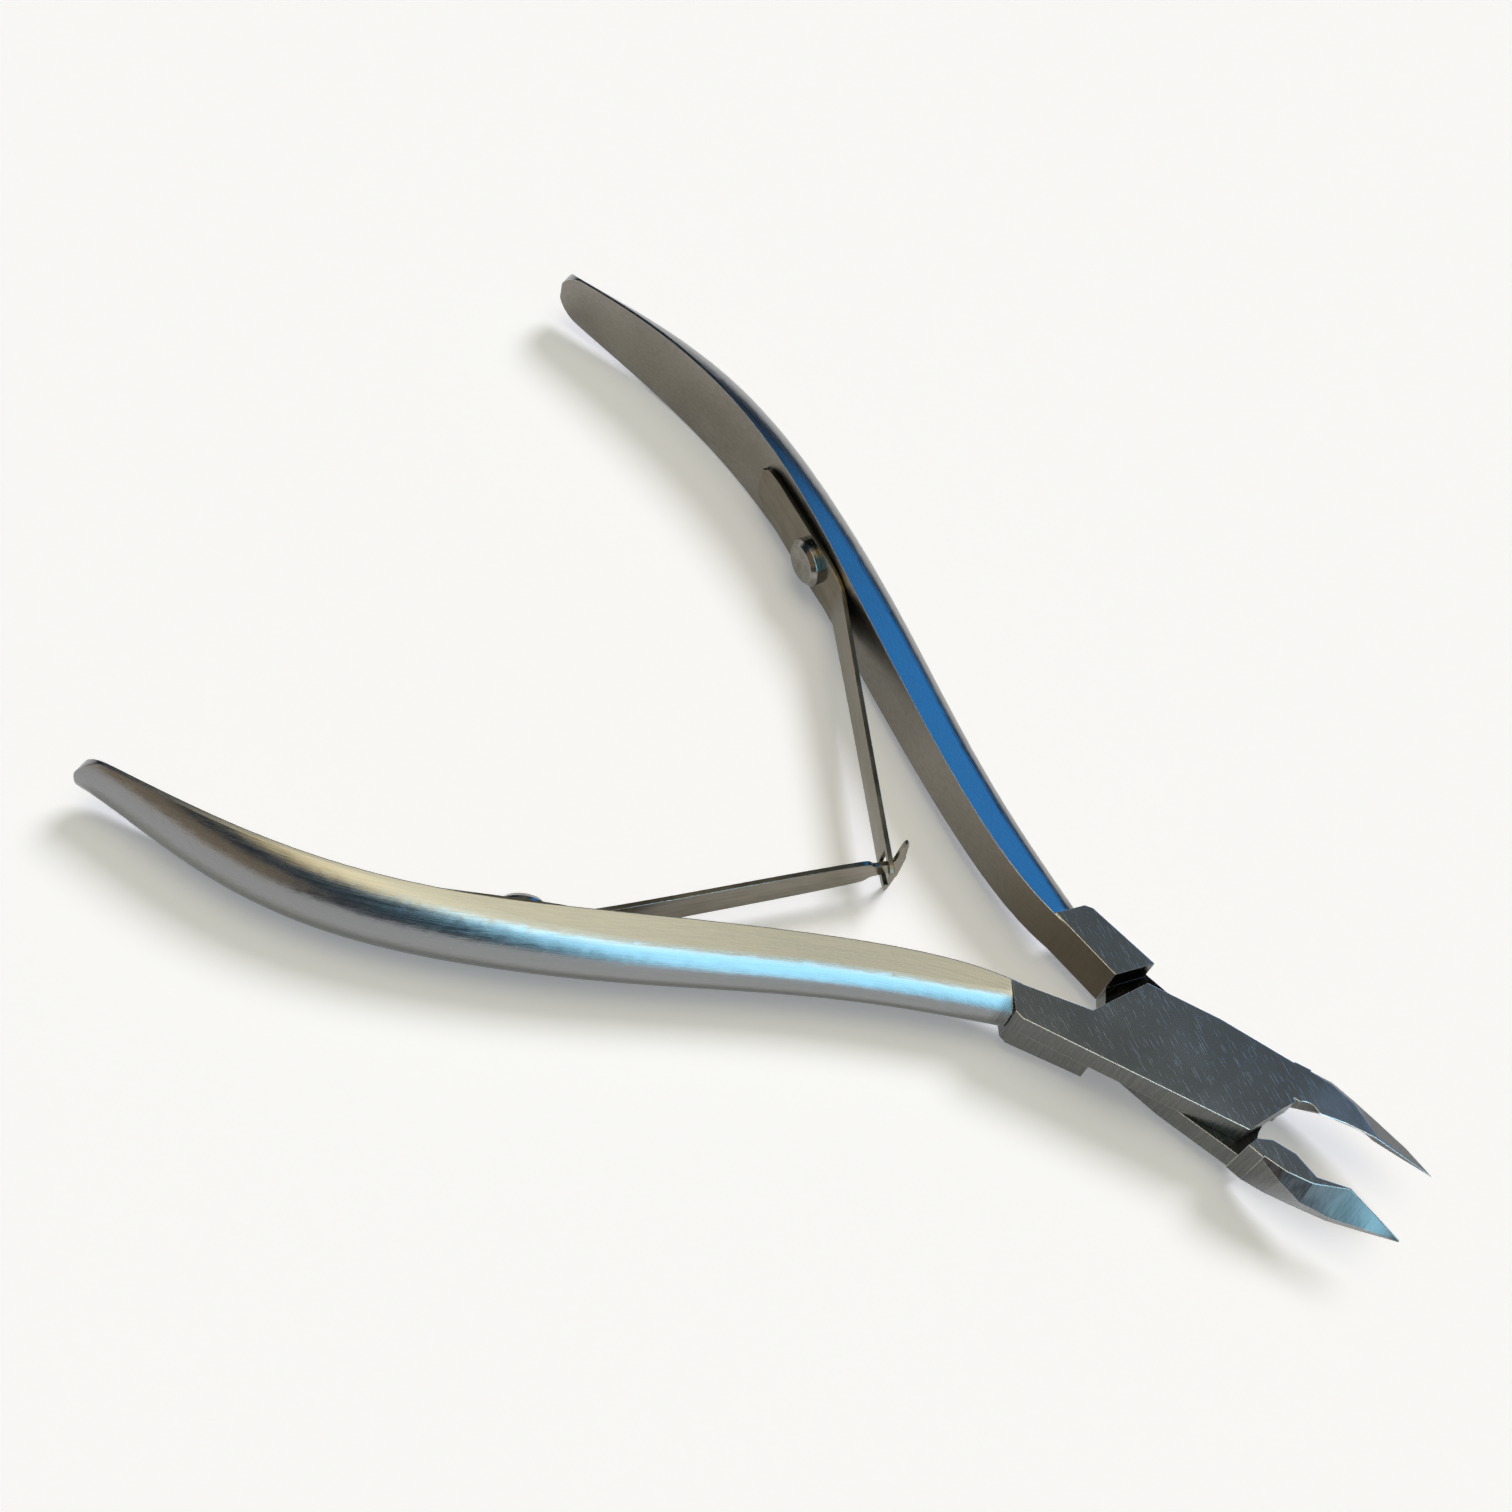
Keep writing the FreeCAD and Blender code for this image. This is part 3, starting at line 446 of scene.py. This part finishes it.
# where one finish or one painted shade gives way to the next: x and z in millimetres, the rest as
# parts of a normal
GRIP_FRONT = (-10.4, -11.4)
LEVEL_FACE = (0.80, 0.95)
INNER_SIDE = (-0.35, -0.60)
INNER_FRONT = (-4.0, -5.0)
UNDERSIDE_SHADE_TURN = (0.12, -0.15)
LAP_LEVEL = 2.5
LAP_NEAR = (0.25, 0.10)
JAW_BACK = (11.0, 12.5)
BEVEL_SLOPE = 0.45
BEVEL_NEAR = (0.40, 0.25)
CORNER_FACE = (0.3, 0.6)
CORNER_ALONG = -2.0
CORNER_NEAR = (4.0, 3.0)
JOINT_SHADE_ALONG = (-22.0, -4.0)
JOINT_SHADE_WANDERS = 8.0
# noises: cycles in a millimetre each way, detail, roughness and a turn where there is one
LINES = ((0.10, 9.0, 9.0), 4.0, 0.65)
GRAIN = ((2.2, 7.0, 7.0), 3.0, 0.6)
CLOUD = ((0.12, 0.12, 0.12), 2.0, 0.5)
SCRATCH_ALONG = ((0.5, 14.0, 2.0), 2.0, 0.5, (0.0, 0.0, 0.55))
SCRATCH_ACROSS = ((11.0, 0.35, 2.0), 2.0, 0.5, (0.0, 0.0, 0.30))
WHEEL = ((6.5, 1.2, 0.25), 3.0, 0.6)
# gloss: a noise's low and high, and the roughness that goes with each
SATIN_GLOSS = (0.3, 0.7, 0.20, 0.30)
FLAT_GLOSS = (0.3, 0.9, 0.13, 0.24)
WALL_GLOSS = (0.3, 0.7, 0.22, 0.34)
INNER_DULLER, BEVEL_DULLER, EDGE_GLOSSIER = 0.07, 0.12, 0.08
EDGE_HIGHLIGHT_SHARE = 0.9
# depths of the marks as shares of MARK_DEPTH
LINE_DEPTH, GRAIN_DEPTH, WHEEL_DEPTH, SCRATCH_DEPTH = 0.5, 0.35, 0.6, 0.12


def start_material(name):
    """A new node material and the graph that writes it."""
    material = bpy.data.materials.new(name)
    material.use_nodes = True
    return material, Graph(material.node_tree)


# the softened normal against the true one: full face to full edge
EDGE_MATCH = (0.985, 0.90)


def rounded_edge(graph, radius=BEVEL_RADIUS):
    """The normal of a softened edge, and a mask that is 1 on the edge."""
    soft = graph.node("ShaderNodeBevel", {"samples": 6}, {"Radius": radius})
    true = graph.node("ShaderNodeNewGeometry", output="Normal")
    match = graph.node(
        "ShaderNodeVectorMath", {"operation": "DOT_PRODUCT"}, {0: soft, 1: true}, "Value"
    )
    return soft, graph.range(match, *EDGE_MATCH)


def finish_steel(graph, base, roughness, height, soft, depth):
    """Join the colour, gloss and marks into one metal surface."""
    bump = graph.node(
        "ShaderNodeBump", None,
        {"Strength": 1.0, "Distance": depth, "Height": height, "Normal": soft},
    )
    metal = graph.node(
        "ShaderNodeBsdfPrincipled", None,
        {"Base Color": base, "Metallic": 1.0, "Roughness": roughness, "Normal": bump},
    )
    graph.node("ShaderNodeOutputMaterial", None, {"Surface": metal})


def in_millimetres(graph):
    """The object's own coordinates in millimetres."""
    local = graph.node("ShaderNodeTexCoord", output="Object")
    return graph.node("ShaderNodeVectorMath", {"operation": "SCALE"}, {0: local, "Scale": 1.0 / MM})


def lever_steel(name, side, bevel_shaded_colours):
    """The finishes and painted shade of one forging; side is +1 or -1, the way its grip lies from
    the middle, and the last argument is the jaw bevels' dark and light colours, painted as shade.
    """
    material, graph = start_material(name)
    place = in_millimetres(graph)
    x, y, z = graph.several("ShaderNodeSeparateXYZ", ("X", "Y", "Z"), {0: place})
    facing = graph.node("ShaderNodeTexCoord", output="Normal")
    turned = graph.several("ShaderNodeSeparateXYZ", ("X", "Y", "Z"), {0: facing})
    face_along, face_out, face_up = turned[0], turned[1] * side, turned[2]
    depth = across_grip(graph, x, y, side)
    bent = graph.node("ShaderNodeCombineXYZ", None, {0: x, 1: depth, 2: z})

    # where each finish and each painted shade lies
    grip = graph.range(x, *GRIP_FRONT)
    joint = 1.0 - grip
    flat = graph.range(face_up * face_up, *LEVEL_FACE)
    inner = graph.range(face_out, *INNER_SIDE) * graph.range(x, *INNER_FRONT)
    wall = (1.0 - flat) * joint
    lapped = graph.range(abs(z - LAP_LEVEL), *LAP_NEAR) * flat * joint
    bevel = graph.range(x, *JAW_BACK) * graph.range(abs(face_up - BEVEL_SLOPE), *BEVEL_NEAR)
    corner = graph.range(face_along, *CORNER_FACE)
    corner = corner * graph.range(abs(x - CORNER_ALONG), *CORNER_NEAR)
    # the lap ledge and the corner faces, which get painted shade
    hidden = graph.math("MAXIMUM", lapped, corner)

    # marks: satin lines and grain along the grip, stray scratches, and upright wheel marks
    lines = graph.noise(bent, *LINES)
    grain = graph.noise(bent, *GRAIN)
    cloud = graph.noise(place, *CLOUD)
    wheel = graph.noise(place, *WHEEL)
    scratches = graph.range(graph.noise(place, *SCRATCH_ALONG), 0.60, 0.72)
    scratches = scratches + graph.range(graph.noise(place, *SCRATCH_ACROSS), 0.62, 0.74)
    wheel_share = graph.range(wheel, 0.35, 0.65)

    # colours, each laid over the one before
    satin_shade = graph.mix(lines * 0.7 + cloud * 0.3, SATIN_DARK, SATIN)
    # painted shade: the satin darkens where the grip faces downwards
    satin_shade = graph.mix(graph.range(face_up, *UNDERSIDE_SHADE_TURN), satin_shade, SATIN_PAINTED_UNDERSHADE)
    inner_shade = graph.mix(graph.range(grain * 0.6 + cloud * 0.4, 0.35, 0.65), INNER_DARK, INNER)
    # painted shade in the throat between the grips: dark brown from x -22 to -4 mm, with a
    # wandering edge
    joint_shade_share = graph.range(x + cloud * JOINT_SHADE_WANDERS, *JOINT_SHADE_ALONG) * 0.9
    inner_shade = graph.mix(joint_shade_share, inner_shade, INNER_JOINT_SHADE)
    flat_shade = graph.mix(cloud * 0.7 + scratches * 0.35, FLAT_DARK, FLAT)
    # wheel marks over a wall colour painted dark as shade
    wall_marks_and_shade = graph.mix(wheel_share, WALL_SHADED_DARK, WALL_SHADED)
    # the jaw bevel's colour pair, painted dark as shade
    bevel_painted_shade = graph.mix(wheel_share, *bevel_shaded_colours)
    # painted shade for the lap ledge and corners
    ledge_painted_shade = graph.mix(graph.range(scratches + cloud, 0.5, 1.2), LAP_PAINTED_SHADE_DARK, LAP_PAINTED_SHADE)
    shade = graph.mix(inner, satin_shade, inner_shade)
    shade = graph.mix(joint * flat, shade, flat_shade)
    shade = graph.mix(wall * (1.0 - inner), shade, wall_marks_and_shade)
    shade = graph.mix(bevel, shade, bevel_painted_shade)
    shade = graph.mix(hidden, shade, ledge_painted_shade)

    # gloss and the height of the marks
    rough = graph.range(lines, *SATIN_GLOSS) * grip
    rough = rough + joint * flat * graph.range(cloud + scratches * 0.2, *FLAT_GLOSS)
    rough = rough + wall * graph.range(wheel, *WALL_GLOSS)
    rough = rough + inner * INNER_DULLER + bevel * BEVEL_DULLER
    marks = lines * grip * LINE_DEPTH + grain * grip * GRAIN_DEPTH + wheel * wall * WHEEL_DEPTH
    marks = marks + scratches * joint * flat * SCRATCH_DEPTH
    soft, edge = rounded_edge(graph)
    # painted highlight along the softened edges
    shade = graph.mix(edge * EDGE_HIGHLIGHT_SHARE, shade, EDGE_PAINTED_HIGHLIGHT)
    finish_steel(graph, shade, rough - edge * EDGE_GLOSSIER, marks, soft, MARK_DEPTH)
    return material


print("edge radius", BEVEL_RADIUS / MM, "mm; marks", MARK_DEPTH / MM, "mm deep")


# %% [markdown]
# ## Spring and rivet steel
# The leaves and rivets are bought parts: rolled strip, hardened and tumbled bright. Strip keeps
# faint rolling lines along its length and an olive cast from tempering. A turned rivet could
# show rings about its own axis, but tumbling has removed them, so it is evenly speckled.

# %% Spring and rivet materials
STRIP = (0.23, 0.205, 0.16, 1.0)
STRIP_DARK = (0.135, 0.115, 0.082, 1.0)
RIVET = (0.29, 0.28, 0.26, 1.0)
RIVET_DARK = (0.18, 0.17, 0.155, 1.0)
STRIP_EDGE, STRIP_MARKS = 0.07 * MM, 0.006 * MM
RIVET_EDGE, RIVET_MARKS = 0.08 * MM, 0.004 * MM
ROLLED = ((0.25, 0.25, 7.0), 3.0, 0.6)
STRIP_CLOUD = ((0.35, 0.35, 0.6), 3.0, 0.6)
STRIP_GLOSS = (0.3, 0.7, 0.15, 0.26)
SPECK = ((5.0, 5.0, 5.0), 3.0, 0.6)
RIVET_CLOUD = ((0.8, 0.8, 0.8), 2.0, 0.5)
RIVET_GLOSS = (0.3, 0.7, 0.14, 0.22)


def strip_steel():
    """Rolled strip with lines along its length."""
    material, graph = start_material("tempered_strip")
    place = in_millimetres(graph)
    rolled = graph.noise(place, *ROLLED)
    cloud = graph.noise(place, *STRIP_CLOUD)
    shade = graph.mix(graph.range(rolled * 0.5 + cloud * 0.5, 0.3, 0.7), STRIP_DARK, STRIP)
    soft, edge = rounded_edge(graph, STRIP_EDGE)
    # painted highlight along the strip's edges
    shade = graph.mix(edge * EDGE_HIGHLIGHT_SHARE, shade, EDGE_PAINTED_HIGHLIGHT)
    rough = graph.range(cloud, *STRIP_GLOSS)
    finish_steel(graph, shade, rough - edge * 0.05, rolled, soft, STRIP_MARKS)
    return material


def rivet_steel():
    """Turned steel, tumbled until it is evenly speckled."""
    material, graph = start_material("tumbled_rivet")
    place = in_millimetres(graph)
    speck = graph.noise(place, *SPECK)
    cloud = graph.noise(place, *RIVET_CLOUD)
    shade = graph.mix(graph.range(speck * 0.4 + cloud * 0.6, 0.35, 0.65), RIVET_DARK, RIVET)
    soft, edge = rounded_edge(graph, RIVET_EDGE)
    # painted highlight along the rivet's edges
    shade = graph.mix(edge * 0.8, shade, EDGE_PAINTED_HIGHLIGHT)
    rough = graph.range(cloud, *RIVET_GLOSS)
    finish_steel(graph, shade, rough, speck, soft, RIVET_MARKS)
    return material


def dress(node, material):
    """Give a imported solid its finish."""
    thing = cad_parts[node]
    thing.data.materials.clear()
    thing.data.materials.append(material)


# the front lever's jaw bevels get the darker pair, as painted shade
REAR_STEEL = lever_steel("ground_steel_rear", 1.0, (BEVEL_SHADED_DARK, BEVEL))
FRONT_STEEL = lever_steel("ground_steel_front", -1.0, (FAR_BEVEL_SHADED_DARK, FAR_BEVEL_SHADED))
dress("rear_lever", REAR_STEEL)
dress("front_lever", FRONT_STEEL)
RIVET_STEEL = rivet_steel()
for rivet in ("pivot_rivet", "front_spring_rivet", "rear_spring_rivet"):
    dress(rivet, RIVET_STEEL)
STRIP_STEEL = strip_steel()
print("dressed:", sorted(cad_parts))

# %% [markdown]
# ## The two sprung leaves
# Each leaf is one blanked strip: a pad riveted inside the grip, a rounded bend, and a straight
# arm to the middle, where a T on one leaf hooks through a fork in the other. A solid could be
# cut from a block, but a strip that follows a path is what Geometry Nodes are for: the tree
# rounds the path's corner, sweeps a flat profile along it and narrows it by a curve. Solidify
# then gives the thickness of the strip, and a small bevel takes its blanked edges off.

# %% The leaf's measures
MIDDLE = 2.5
LEAF_THICKNESS = 0.4
PAD_STANDS_OFF = 0.06
BEND_ALONG = -41.2
BEND_RADIUS = 3.0
CROSSING = -24.6
RIVET_ALONG = -45.2
RIVET_HOLE = 1.15
NECK_START = CROSSING - 0.7
EAR_START = CROSSING + 0.28
EAR_END = EAR_START + 0.57
FORK_REACH = 0.8
SLOT_HALF = 0.96
HOLE_HALF = 1.5
# a slot that starts here lies beyond the strip, so none is cut
NO_SLOT = 1000.0
LEAF_STEP = 0.12
BEND_STEPS = 14
POINTS_ACROSS = 11
LEAF_BEVEL = 0.05
BEVEL_STEPS = 2
SHARP_ANGLE = math.radians(50.0)
# half widths against the distance along the tool
PAD_WIDTHS = [
    (-54.4, 1.2), (-53.4, 1.5), (-52.9, 2.1), (-52.2, 2.45), (-51.2, 2.6), (-49.6, 2.65),
    (-43.2, 2.65), (-42.2, 2.5), (-41.0, 2.15), (-39.6, 2.0),
]
LEAF_WIDTHS = {
    "rear": PAD_WIDTHS + [(-26.4, 1.6), (-24.2, 1.6), (-23.9, 1.45), (-23.4, 1.2)],
    "front": PAD_WIDTHS + [
        (-26.6, 1.6), (-25.9, 1.5), (-25.45, 0.95), (NECK_START, 0.85), (EAR_START, 0.85),
        (EAR_START + 0.1, 3.7), (EAR_START + 0.2, 4.15), (EAR_START + 0.33, 4.15),
        (EAR_START + 0.45, 3.7), (EAR_END, 1.4), (EAR_END + 0.4, 1.36),
    ],
}
WIDEST = 4.2
SIDES = {"rear": 1.0, "front": -1.0}
SLOT_STARTS = {"rear": NECK_START, "front": NO_SLOT}


def leaf_path(lever):
    """Corners of the strip's middle line: pad end, bend and free end, in millimetres."""
    side = SIDES[lever]
    start, finish = (Vector((x, y * side, 0.0)) for x, y in INNER_FACE[2:4])
    along = (finish - start).normalized()
    inward = Vector((along.y, -along.x, 0.0)) * side
    off = inward * (PAD_STANDS_OFF + LEAF_THICKNESS / 2)
    bend = start + off + along * ((BEND_ALONG - (start + off).x) / along.x)
    crossing = Vector((CROSSING, 0.0, 0.0))
    arm = (crossing - bend).normalized()
    reach = FORK_REACH if lever == "rear" else EAR_END - CROSSING
    tip = crossing + arm * (reach / arm.x)
    lift = Vector((0.0, 0.0, MIDDLE))
    return [point + lift for point in (start + off, bend, tip)]


print("rear leaf path:", [[round(v, 2) for v in p] for p in leaf_path("rear")])

# %% The leaf's tree


def width_curve(widths):
    """Float Curve points of a width table, both ways from 0 to 1."""
    low, high = widths[0][0], widths[-1][0]
    return [((along - low) / (high - low), half / WIDEST) for along, half in widths]


def leaf_tree(lever):
    """Geometry nodes that sweep a strip along the object's own edges."""
    tree = bpy.data.node_groups.new("sprung_leaf_" + lever, "GeometryNodeTree")
    graph = Graph(tree)
    face = tree.interface
    face.new_socket("Path", in_out="INPUT", socket_type="NodeSocketGeometry")
    for label in ("Bend radius", "Step", "Slot start", "Hole reach"):
        face.new_socket(label, in_out="INPUT", socket_type="NodeSocketFloat")
    face.new_socket("Steel", in_out="INPUT", socket_type="NodeSocketMaterial")
    face.new_socket("Strip", in_out="OUTPUT", socket_type="NodeSocketGeometry")
    path, radius, step, slot, hole, steel = graph.several(
        "NodeGroupInput", ("Path", "Bend radius", "Step", "Slot start", "Hole reach", "Steel")
    )
    line = graph.node("GeometryNodeMeshToCurve", None, {"Mesh": path})
    line = graph.node(
        "GeometryNodeFilletCurve", {"mode": "POLY"},
        {"Curve": line, "Count": BEND_STEPS, "Radius": radius},
    )
    line = graph.node(
        "GeometryNodeResampleCurve", {"mode": "LENGTH"}, {"Curve": line, "Length": step}
    )
    line = graph.node("GeometryNodeSetCurveNormal", {"mode": "Z_UP"}, {"Curve": line})
    x, y, z = graph.several(
        "ShaderNodeSeparateXYZ", ("X", "Y", "Z"), {0: graph.node("GeometryNodeInputPosition")}
    )
    widths = LEAF_WIDTHS[lever]
    low, high = widths[0][0] * MM, widths[-1][0] * MM
    half = graph.node(
        "ShaderNodeFloatCurve", {"curve": width_curve(widths)},
        {"Value": (x - low) / (high - low)},
    )
    profile = graph.node(
        "GeometryNodeCurvePrimitiveLine", None,
        {"Start": (0.0, -1.0, 0.0), "End": (0.0, 1.0, 0.0)},
    )
    profile = graph.node(
        "GeometryNodeResampleCurve", {"mode": "COUNT"},
        {"Curve": profile, "Count": POINTS_ACROSS},
    )
    strip = graph.node(
        "GeometryNodeCurveToMesh", None,
        {"Curve": line, "Profile Curve": profile, "Scale": half * (WIDEST * MM)},
    )
    off_middle = abs(z - MIDDLE * MM)
    in_slot = (x > slot) * (off_middle < SLOT_HALF * MM)
    in_hole = (abs(x - RIVET_ALONG * MM) < hole) * (off_middle < HOLE_HALF * MM)
    strip = graph.node(
        "GeometryNodeDeleteGeometry", {"domain": "FACE"},
        {"Geometry": strip, "Selection": graph.math("MAXIMUM", in_slot, in_hole)},
    )
    strip = graph.node("GeometryNodeSetShadeSmooth", None, {0: strip})
    strip = graph.node("GeometryNodeRealizeInstances", None, {0: strip})
    strip = graph.node("GeometryNodeSetMaterial", None, {"Geometry": strip, "Material": steel})
    graph.node("NodeGroupOutput", None, {"Strip": strip})
    return tree


print("leaf tree ready")

# %% Sweep and thicken the leaves


def set_inputs(modifier, values):
    """Set a tree's named inputs by each socket's identifier."""
    for item in modifier.node_group.interface.items_tree:
        if item.name in values:
            modifier[item.identifier] = values[item.name]


def make_leaf(lever):
    """Sweep one leaf, thicken it, and hide the imported spring in its place."""
    name = lever + "_sprung_leaf"
    path = bpy.data.meshes.new(name + "_path")
    path.from_pydata([p * MM for p in leaf_path(lever)], [(0, 1), (1, 2)], [])
    draft = bpy.data.objects.new(name + "_draft", path)
    bpy.context.scene.collection.objects.link(draft)
    sweep = draft.modifiers.new("sweep", "NODES")
    sweep.node_group = leaf_tree(lever)
    set_inputs(sweep, {
        "Bend radius": BEND_RADIUS * MM,
        "Step": LEAF_STEP * MM,
        "Slot start": SLOT_STARTS[lever] * MM,
        "Hole reach": RIVET_HOLE * MM,
        "Steel": STRIP_STEEL,
    })
    wall = draft.modifiers.new("thickness", "SOLIDIFY")
    wall.thickness = LEAF_THICKNESS * MM
    wall.offset = 0.0
    edge = draft.modifiers.new("blanked_edge", "BEVEL")
    edge.width = LEAF_BEVEL * MM
    edge.segments = BEVEL_STEPS
    edge.limit_method = "ANGLE"
    edge.angle_limit = SHARP_ANGLE
    edge.harden_normals = True
    ready = draft.evaluated_get(bpy.context.evaluated_depsgraph_get())
    mesh = bpy.data.meshes.new_from_object(ready)
    mesh.name = name
    bpy.data.objects.remove(draft)
    leaf = bpy.data.objects.new(name, mesh)
    bpy.context.scene.collection.objects.link(leaf)
    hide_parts(lever + "_spring")
    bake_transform(leaf)
    return leaf


for lever_name in ("rear", "front"):
    sprung = make_leaf(lever_name)
    print(sprung.name, len(sprung.data.polygons), "faces")
